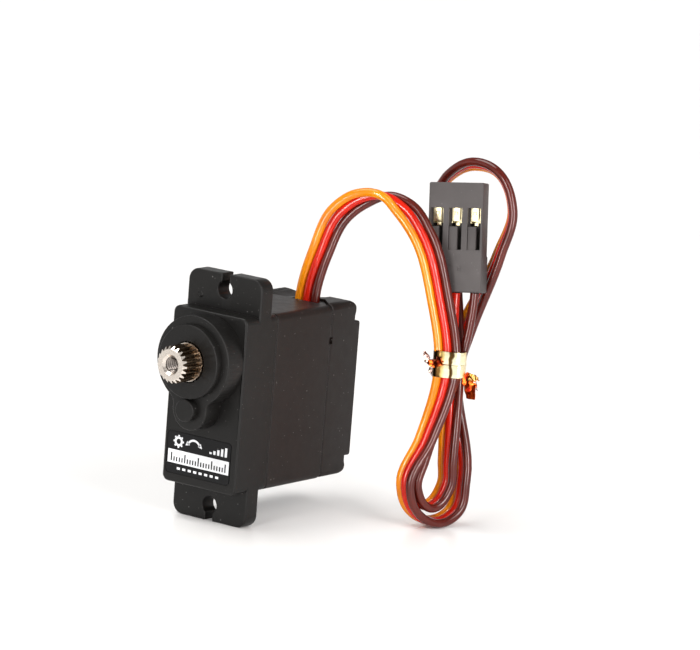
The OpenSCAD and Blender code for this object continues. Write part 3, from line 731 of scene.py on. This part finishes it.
def arc_strip(middle, r_in, r_out, start, end, steps=16):
    """Part of a flat ring, from one angle to another in degrees."""
    cx, cz = middle
    angles = [math.radians(start + (end - start) * k / steps) for k in range(steps + 1)]
    outer = [(cx + r_out * math.cos(a), cz + r_out * math.sin(a)) for a in angles]
    inner = [(cx + r_in * math.cos(a), cz + r_in * math.sin(a)) for a in reversed(angles)]
    return outer + inner


def cog_outlines(middle, r, teeth=8):
    """A little gear sign: a ring in parts and its teeth."""
    cx, cz = middle
    parts = [arc_strip(middle, r * 0.42, r * 0.78, 90 * k, 90 * k + 90, 6) for k in range(4)]
    tooth = [(0.7 * r, -0.17 * r), (r, -0.12 * r), (r, 0.12 * r), (0.7 * r, 0.17 * r)]
    for k in range(teeth):
        a = 2 * math.pi * k / teeth
        ca, sa = math.cos(a), math.sin(a)
        parts.append([(cx + u * ca - v * sa, cz + u * sa + v * ca) for u, v in tooth])
    return parts


def make_label():
    """Generic signs: a gear, a turning arrow, rising bars, a scale and a row of dashes."""
    white = cog_outlines(COG_AT, COG_R)
    white += [arc_strip(ARROW_AT, *ARROW_R, 25, 155)]
    white += ARROW_TIPS
    x, z = BARS_AT
    for k in range(5):
        left = x + BARS_PITCH * k
        white.append(bar(left, z, left + BAR_W, z + BAR_RISE * (k + 1)))
    white += [bar(*BAND)]
    x, z = DASHES_AT
    for k in range(8):
        left = x + DASH_PITCH * k
        white.append(bar(left, z, left + DASH_W, z + DASH_H))
    flat_print("label_signs", white, LABEL_FACE_Y, LABEL_WHITE)
    ticks = []
    for k in range(21):
        x, z = TICKS_AT[0] + TICK_PITCH * k, TICKS_AT[1]
        height = LONG_TICK if k % 5 == 0 else SHORT_TICK
        ticks.append(bar(x - TICK_HALF_W, z, x + TICK_HALF_W, z + height))
    flat_print("label_ticks", ticks, LABEL_FACE_Y - PRINT_T, LABEL_BLACK)


# ------------------------------------------------------------------ shaft

BORE_R = 1.0 * MM
CREST_R = 0.84 * MM
THREAD_PITCH = 0.4 * MM
THREAD_START = 0.45 * MM
THREAD_TURNS = 10
THREAD_STEPS = 28


def make_thread():
    """The screw hole's thread: a ridge that winds down the bore."""
    low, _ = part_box("output_gear")
    mouth = low.y + THREAD_START
    root = BORE_R + 0.02 * MM
    # The ridge's section, as radius and share of the pitch
    ridge = ((root, -0.42), (CREST_R, -0.06), (CREST_R, 0.06), (root, 0.42))
    last = THREAD_TURNS * THREAD_STEPS
    verts, faces = [], []
    for k in range(last + 1):
        a = 2 * math.pi * k / THREAD_STEPS
        y = mouth + THREAD_PITCH * k / THREAD_STEPS
        for r, share in ridge:
            z = OUTPUT_Z * MM + r * math.sin(a)
            verts.append(Vector((r * math.cos(a), y + share * THREAD_PITCH, z)))
    for k in range(last):
        for j in range(4):
            after = (j + 1) % 4
            faces.append([4 * k + j, 4 * k + after, 4 * k + 4 + after, 4 * k + 4 + j])
    faces.append([0, 1, 2, 3])
    faces.append([4 * last + j for j in (3, 2, 1, 0)])
    mesh = mesh_from("shaft_thread", verts, faces)
    fix_normals(mesh)
    shade(mesh, 40)
    mesh.materials.append(THREAD_PAINTED_SHADE)
    thread = add_object("shaft_thread", mesh, "output_shaft")


# ------------------------------------------------------------------ plug

PLUG_AT = Vector((18.8, 22, 14.6)) * MM
PLUG_TURN = 17
PLUG_TILT = -6
PLUG_LEAN = -9
PLUG_W, PLUG_T, PLUG_L = 7.4, 2.4, 14.2
PLUG_STEP, PLUG_STEP_H = 0.3, 4.8
MARK_DEPTH = 0.05

# Boxes in mm as left, front, bottom, right, back, top. The first two tables count
# left and right from each contact's middle line.
PLUG_CUTS = (
    (-0.88, -2, 5.5, 0.88, -0.5, 10.9),  # window on the front
    (-0.76, -0.62, 1.2, 0.76, 0.82, 13.95),  # cavity round the contact
    (-0.45, -0.35, 12, 0.45, 0.55, 15),  # pin hole in the end
    (-0.62, -0.5, -1, 0.62, 0.74, 2),  # hole that the wire goes in through
)
PLUG_TONGUE = (-0.84, -1.12, 5.3, 0.28, -0.6, 8.5)
# Shallow mould marks on the front, as left, bottom, right, top
PLUG_MARKS = (
    (-0.9, 3.4, -0.35, 3.5),
    (0.5, 2.75, 0.62, 3.2),
    (0.82, 2.75, 0.94, 3.2),
    (0.55, 3.15, 0.9, 3.27),
    (-0.45, 13.5, -0.25, 13.68),
)
# Each contact's parts: a box as above and its bevel
CONTACT_PARTS = (
    ((-0.66, -0.6, 9.2, 0.46, -0.42, 13.7), 0.05),  # front wall
    ((-0.1, -0.6, 8.62, 0.46, -0.45, 9.08), 0.05),  # lip below it
    ((-0.7, -0.48, 8.95, -0.56, 0.7, 13.7), 0.03),  # left wall
    ((0.56, -0.48, 8.95, 0.7, 0.7, 13.7), 0.03),  # right wall
    ((-0.58, 0.6, 8.95, 0.58, 0.74, 13.7), 0.03),  # rear wall
    ((-0.3, -0.72, 9.95, 0.16, -0.55, 10.45), 0.06),  # raised spring
    ((-0.6, -0.3, 2.6, 0.6, 0.62, 5.2), 0.2),  # crimp round the wire
)


def plug_frame():
    """Where the plug stands: the middle of the end that the wires enter, and its turn."""
    turn = Matrix.Rotation(math.radians(PLUG_TURN), 4, "Z")
    tilt = Matrix.Rotation(math.radians(PLUG_TILT), 4, "Y")
    lean = Matrix.Rotation(math.radians(PLUG_LEAN), 4, "X")
    return Matrix.Translation(PLUG_AT) @ turn @ tilt @ lean


def box_at(x, sizes, bevel=0.0, segments=3):
    """A box from a table above, moved along the row of contacts."""
    x0, y0, z0, x1, y1, z1 = sizes
    return mm_box(x + x0, y0, z0, x + x1, y1, z1, bevel, segments)


def make_plug():
    """Three-way plug: windows on its front with ribs and latch tongues, pin holes on its end."""
    half_w, half_t = PLUG_W / 2, PLUG_T / 2
    data = bpy.data.meshes.new("plug_body")
    body = mm_box(-half_w, -half_t, 0, half_w, half_t, PLUG_L, 0.22, 4)
    body.to_mesh(data)
    body.free()
    plug = bpy.data.objects.new("plug_body", data)
    bpy.context.scene.collection.objects.link(plug)
    step = mm_box(-half_w, 0, 0, half_w, half_t + PLUG_STEP, PLUG_STEP_H, 0.2, 4)
    cut_or_join(plug, step, "UNION")
    for k in (-1, 0, 1):
        x = k * CAVITY_PITCH / MM
        for sizes in PLUG_CUTS:
            cut_or_join(plug, box_at(x, sizes), "DIFFERENCE")
        cut_or_join(plug, box_at(x, PLUG_TONGUE, 0.06, 2), "UNION")
    for left, bottom, right, top in PLUG_MARKS:
        mark = mm_box(left, -2, bottom, right, MARK_DEPTH - half_t, top)
        cut_or_join(plug, mark, "DIFFERENCE")
    one_material(plug.data, PLUG_GREY)
    plug.data.transform(plug_frame())
    shade(plug.data, 30)
    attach(plug, "case")
    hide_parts("plug_housing")
    return plug


def make_contacts():
    """Stamped box contacts with a raised spring, seen through the plug's windows."""
    bm = bmesh.new()
    for k in (-1, 0, 1):
        for sizes, bevel in CONTACT_PARTS:
            part = box_at(k * CAVITY_PITCH / MM, sizes, bevel, 2)
            data = bpy.data.meshes.new("part")
            part.to_mesh(data)
            part.free()
            bm.from_mesh(data)
            bpy.data.meshes.remove(data)
    mesh = bpy.data.meshes.new("plug_gold")
    bm.to_mesh(mesh)
    bm.free()
    mesh.transform(plug_frame())
    shade(mesh, 35)
    mesh.materials.append(GOLD)
    gold = add_object("plug_gold", mesh, "case")
    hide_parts("plug_contacts")
    return gold


# ------------------------------------------------------------------ tie

# The strip in mm: its two turns, how far it stands off the wires, and its relief
LOWER_BAND_Z = 3.86
UPPER_BAND_Z = 5.6
BAND_ROWS = 7
BAND_T = 0.09
BAND_GAP = 0.12
DENT_DEPTH = 0.1
FOLD_DEPTH = 0.03
EDGE_TUCK = -0.07
EDGE_WAVER = 0.12

# The loose ends in mm
TAIL_STEPS = 22
TAIL_ACROSS = 6
TAIL_T = 0.07
CRUMPLE_DEPTH = 0.22
WAVE_SHARE = 0.1
TAIL_FACING = Vector((0.3, -0.9, 0.2))


def tie_outline(steps=14):
    """Points round the bundle in the tie's own axes, a rectangle with round corners."""
    corners = []
    for cx, cy, start in ((1, -1, -90), (1, 1, 0), (-1, 1, 90), (-1, -1, 180)):
        mx, my = cx * (TIE_HALF_W - TIE_CORNER), cy * (TIE_HALF_D - TIE_CORNER)
        angles = [math.radians(start + 90 * k / 4) for k in range(5)]
        corners.append([(mx + TIE_CORNER * math.cos(a), my + TIE_CORNER * math.sin(a))
                        for a in angles])
    points = []
    for k, corner in enumerate(corners):
        (x0, y0), (x1, y1) = corner[-1], corners[(k + 1) % 4][0]
        points += corner
        points += [(x0 + (x1 - x0) * j / steps, y0 + (y1 - y0) * j / steps)
                   for j in range(1, steps)]
    return points


def tie_place(x, y, z):
    """From the tie's own axes in mm to the frame in metres."""
    a = math.radians(TIE_TURN)
    return Vector((TIE_MIDDLE.x + x * math.cos(a) - y * math.sin(a),
                   TIE_MIDDLE.y + x * math.sin(a) + y * math.cos(a), z)) * MM


def band_vertex(x, y, row, layer, low_z, seed, slope):
    """A point of the strip's inner or outer face, dented and creased by noise."""
    z = low_z + TIE_BAND_H * row / (BAND_ROWS - 1) + slope * x
    dent = DENT_DEPTH * noise.noise(Vector((x * 0.9, y * 0.9, z * 0.4 + seed)))
    fold = FOLD_DEPTH * noise.noise(Vector((x * 3.1, y * 3.1, z * 0.8 + seed * 2)))
    edge = EDGE_TUCK if row in (0, BAND_ROWS - 1) else 0.0
    push = 1 + (BAND_GAP + dent + fold + edge + layer * BAND_T) / math.hypot(x, y)
    return tie_place(x * push, y * push, z + EDGE_WAVER * fold)


def make_band(name, low_z, seed, slope):
    """One turn of the foil strip, pressed against the wires and creased."""
    outline = tie_outline()
    n = len(outline)
    verts = [band_vertex(x, y, row, layer, low_z, seed, slope)
             for layer in (0, 1) for row in range(BAND_ROWS) for x, y in outline]
    faces = []
    for layer in (0, 1):
        for row in range(BAND_ROWS - 1):
            low = (layer * BAND_ROWS + row) * n
            for k in range(n):
                after = (k + 1) % n
                quad = [low + k, low + after, low + n + after, low + n + k]
                faces.append(quad if layer else quad[::-1])
    for row in (0, BAND_ROWS - 1):
        for k in range(n):
            a, b = row * n + k, row * n + (k + 1) % n
            rim = [a, b, b + BAND_ROWS * n, a + BAND_ROWS * n]
            faces.append(rim[::-1] if row else rim)
    mesh = mesh_from(name, verts, faces)
    fix_normals(mesh)
    shade(mesh, 50)
    mesh.materials.append(BAND_FOIL_PAINTED_REFLECTIONS)
    band = add_object(name, mesh, "case")
    return band


def tail_section(points, widths, step, start_turn, twist, seed):
    """The strip's lower and upper points at one step along its path."""
    t = step / TAIL_STEPS * (len(points) - 1)
    k = min(int(t), len(points) - 2)
    f = t - k
    centre = points[k].lerp(points[k + 1], f)
    width = widths[k] * (1 - f) + widths[k + 1] * f
    along = (points[k + 1] - points[k]).normalized()
    side = along.cross(TAIL_FACING).normalized()
    flat = along.cross(side)
    a = math.radians(start_turn + twist * step / TAIL_STEPS)
    direction = side * math.cos(a) + flat * math.sin(a)
    normal = flat * math.cos(a) - side * math.sin(a)
    verts = []
    for layer in (-1, 1):
        for j in range(TAIL_ACROSS + 1):
            w = (j / TAIL_ACROSS - 0.5) * width
            wave = math.cos(j / TAIL_ACROSS * math.pi * 2) * math.sin(step * 0.6 + seed)
            bumps = noise.noise(Vector((w * 1.6 + seed, step * 0.22, seed)))
            out = WAVE_SHARE * width * wave + CRUMPLE_DEPTH * bumps + layer * TAIL_T / 2
            verts.append((centre + direction * w + normal * out) * MM)
    return verts


def make_tail(name, path, widths, start_turn, twist, seed, material):
    """A loose end of the tie: a creased strip twisted along a path of (x, y, z) in mm."""
    points = [Vector(p) for p in path]
    verts, faces = [], []
    for step in range(TAIL_STEPS + 1):
        verts += tail_section(points, widths, step, start_turn, twist, seed)
    wide = TAIL_ACROSS + 1
    row = 2 * wide
    loop = list(range(wide)) + [wide + j for j in reversed(range(wide))]
    for step in range(TAIL_STEPS):
        low, high = step * row, (step + 1) * row
        for a, b in zip(loop, loop[1:] + loop[:1]):
            faces.append([low + a, low + b, high + b, high + a])
    faces.append(loop)
    faces.append([TAIL_STEPS * row + i for i in reversed(loop)])
    mesh = mesh_from(name, verts, faces)
    fix_normals(mesh)
    shade(mesh, 40)
    mesh.materials.append(material)
    tail = add_object(name, mesh, "case")
    return tail


def make_tie():
    """The gold foil tie round the bundle and its twisted ends, some painted red as a reflection of
    the wires.
    """
    lower = make_band("tie_band_lower", LOWER_BAND_Z, 1.7, 0.03)
    upper = make_band("tie_band_upper", UPPER_BAND_Z, 4.3, -0.02)
    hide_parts("twist_tie")
    # Paths in the frame, in mm
    lump = [(20.0, 18.4, 6.1), (19.1, 18.6, 5.85), (18.2, 18.9, 5.6), (17.3, 19.2, 5.5)]
    point = [(17.5, 19.2, 5.4), (17.1, 19.2, 5.7), (16.8, 19.3, 6.1), (16.4, 19.4, 6.8)]
    flap = [(17.9, 19.2, 5.3), (17.6, 19.4, 4.5), (17.8, 19.6, 3.8), (18.1, 19.8, 3.3)]
    right = [(20.5, 22.8, 3.8), (21.3, 23.0, 3.3), (21.65, 23.0, 2.2), (21.75, 23.0, 0.9)]
    tip = [(21.3, 22.9, 3.8), (22.2, 23.0, 3.8), (23.0, 23.0, 3.6)]
    fold = [(21.9, 23.2, 3.2), (22.35, 23.2, 2.6), (22.6, 23.2, 2.1)]
    # Widths at the path's points, first turn and twist in degrees, seed of the creases
    tails = [
        make_tail("tie_end_left", lump, (0.9, 1.4, 1.3, 0.6), -20, 60, 2.0, FOIL_PAINTED_RED_REFLECTION),
        make_tail("tie_point_left", point, (0.5, 0.9, 0.9, 0.1), -10, 40, 3.0, PALE_FOIL),
        make_tail("tie_flap_left", flap, (0.5, 0.7, 0.6, 0.15), 10, 30, 5.0, PALE_FOIL),
        make_tail("tie_end_right", right, (1.4, 1.9, 1.7, 1.6), -15, 45, 8.0, FOIL_PAINTED_RED_REFLECTION),
        make_tail("tie_tip_right", tip, (0.9, 0.8, 0.1), 0, 40, 11.0, GOLD_FOIL),
        make_tail("tie_fold_right", fold, (0.6, 0.6, 0.1), 10, 40, 13.0, PALE_FOIL),
    ]
    return [lower, upper] + tails


# ------------------------------------------------------------------ CAD nodes that stay

FINISHES = {
    SHAFT_LIT_AND_SHADED: ["output_gear"],
    BEARING_STEEL: [
        "front_bearing_outer", "front_bearing_inner", "front_bearing_balls",
        "rear_bearing_outer", "rear_bearing_inner", "rear_bearing_balls",
        "idler_axle", "motor_shaft",
    ],
    GEAR_BRASS: [
        "first_gear", "second_gear", "motor_pinion",
        "front_bearing_cage", "rear_bearing_cage", "motor_front_bush",
    ],
    GEAR_STEEL: ["third_gear"],
    SCREW_ZINC: ["case_screws"],
    LABEL_BLACK: ["label"],
    CAN_STEEL: ["motor_can"],
    MAGNET: ["motor_magnets"],
    LAMINATION: ["motor_armature"],
    COPPER: ["motor_windings", "motor_commutator", "motor_brushes"],
    TIN: ["motor_terminals", "pot_wiper", "pot_leads"],
    DARK_PLASTIC: ["motor_end_bell", "lead_clamp"],
    GREEN_PLASTIC: ["pot_housing"],
    NATURAL_PLASTIC: ["pot_rotor"],
    EPOXY: ["pot_track", "controller_chip", "driver_chips", "board_resistors"],
    CERAMIC: ["board_capacitors"],
    BOARD: ["circuit_board"],
    WIRES["orange"]: ["lead_tails"],
}


def finish_cad_nodes():
    """Gives each CAD node that stays its material."""
    for material, nodes in FINISHES.items():
        for node in nodes:
            data = CAD_NODES[node].data
            data.materials.clear()
            data.materials.append(material)


# ------------------------------------------------------------------ studio

# Metres, then degrees
STRIP_DISTANCE, STRIP_WIDTH, STRIP_HEIGHT = 0.12, 0.03, 0.1
STRIP_FOCUS, STRIP_LIFT = (0.02, 0.02), 0.001
FLOOR_HALF = 4.0
RIGHT_BEARING, LEFT_BEARING = 66, 2

# Height of the view upwards, from 0 level to 1 overhead, and the colour there
SKY_LOW = 0.2, (1, 0.995, 0.99, 1)
SKY_HIGH = 0.46, (0.3, 0.3, 0.3, 1)


def make_sky():
    """A sky that is white near the horizon and darker overhead."""
    world = bpy.data.worlds.new("studio")
    world.use_nodes = True
    nodes, links = world.node_tree.nodes, world.node_tree.links
    split = nodes.new("ShaderNodeSeparateXYZ")
    links.new(nodes.new("ShaderNodeTexCoord").outputs["Generated"], split.inputs["Vector"])
    ramp = nodes.new("ShaderNodeValToRGB")
    low, high = ramp.color_ramp.elements
    low.position, low.color = SKY_LOW
    high.position, high.color = SKY_HIGH
    links.new(split.outputs["Z"], ramp.inputs["Fac"])
    links.new(ramp.outputs["Color"], nodes["Background"].inputs["Color"])
    nodes["Background"].inputs["Strength"].default_value = 1.0
    bpy.context.scene.world = world


def sun_light(name, direction, spread, strength, colour=(1, 1, 1)):
    """A far softbox: parallel light with soft shadows."""
    data = bpy.data.lights.new(name, "SUN")
    data.angle = math.radians(spread)
    data.energy = strength
    data.color = colour
    light = bpy.data.objects.new(name, data)
    bpy.context.scene.collection.objects.link(light)
    light.matrix_world = Vector(direction).to_track_quat("-Z", "Y").to_matrix().to_4x4()


def strip_light(name, bearing, power, colour=(1, 1, 1)):
    """A slim strip softbox close to the lead. Its bearing counts from -Y towards +X."""
    data = bpy.data.lights.new(name, "AREA")
    data.shape = "RECTANGLE"
    data.size, data.size_y = STRIP_WIDTH, STRIP_HEIGHT
    data.energy = power
    data.color = colour
    light = bpy.data.objects.new(name, data)
    bpy.context.scene.collection.objects.link(light)
    a = math.radians(bearing)
    away = Vector((math.sin(a), -math.cos(a), 0))
    foot = Vector((*STRIP_FOCUS, CAD_BOX[0].z + STRIP_HEIGHT / 2 + STRIP_LIFT))
    aim = (-away).to_track_quat("-Z", "Y").to_matrix().to_4x4()
    light.matrix_world = Matrix.Translation(foot + away * STRIP_DISTANCE) @ aim
    light.visible_camera = False
    return light


def make_glints(wires):
    """Two more strips that are linked to the wires alone and add only gloss to them."""
    shiny = bpy.data.collections.new("glossy_wires")
    for wire in wires:
        shiny.objects.link(wire)
    places = (("glint_right", RIGHT_BEARING, 1.5), ("glint_left", LEFT_BEARING, 1.3))
    for name, bearing, power in places:
        glint = strip_light(name, bearing, power, (1, 0.95, 0.94))
        glint.visible_diffuse = False
        glint.light_linking.receiver_collection = shiny


def make_studio():
    """A white floor under the object, soft light from overhead and two strips beside it."""
    half = FLOOR_HALF
    z = CAD_BOX[0].z
    corners = [(-half, -half, z), (half, -half, z), (half, half, z), (-half, half, z)]
    floor = bpy.data.objects.new("floor", mesh_from("floor", corners, [[0, 1, 2, 3]]))
    bpy.context.scene.collection.objects.link(floor)
    floor.data.materials.append(floor_finish())
    make_sky()
    bpy.context.scene.view_settings.view_transform = "Standard"
    sun_light("key", (0.35, 0.3, -1), 40, 2.3, (1, 0.99, 0.97))
    sun_light("side", (-0.8, 0.2, -0.7), 30, 0.9, (1, 0.97, 0.94))
    strip_light("strip_right", RIGHT_BEARING, 0.085, (1, 0.96, 0.95))
    strip_light("strip_left", LEFT_BEARING, 0.07, (1, 0.98, 0.97))


# ------------------------------------------------------------------ assembly

make_camera()
orange = make_wire("wire_orange", "lead_orange", -1, WIRES["orange"])
red = make_wire("wire_red", "lead_red", 0, WIRES["red"])
brown = make_wire("wire_brown", "lead_brown", 1, WIRES["brown"])
plug = make_plug()
gold = make_contacts()
tie = make_tie()

rounded_copy("housing_front", "upper_case", housing_front_radius, NYLON)
rounded_copy("housing_middle", "middle_case", housing_middle_radius, NYLON_MID)
rounded_copy("housing_rear", "bottom_cover", housing_rear_radius, NYLON_MID)
make_label()
make_thread()
finish_cad_nodes()
make_studio()
make_glints([orange, red, brown])
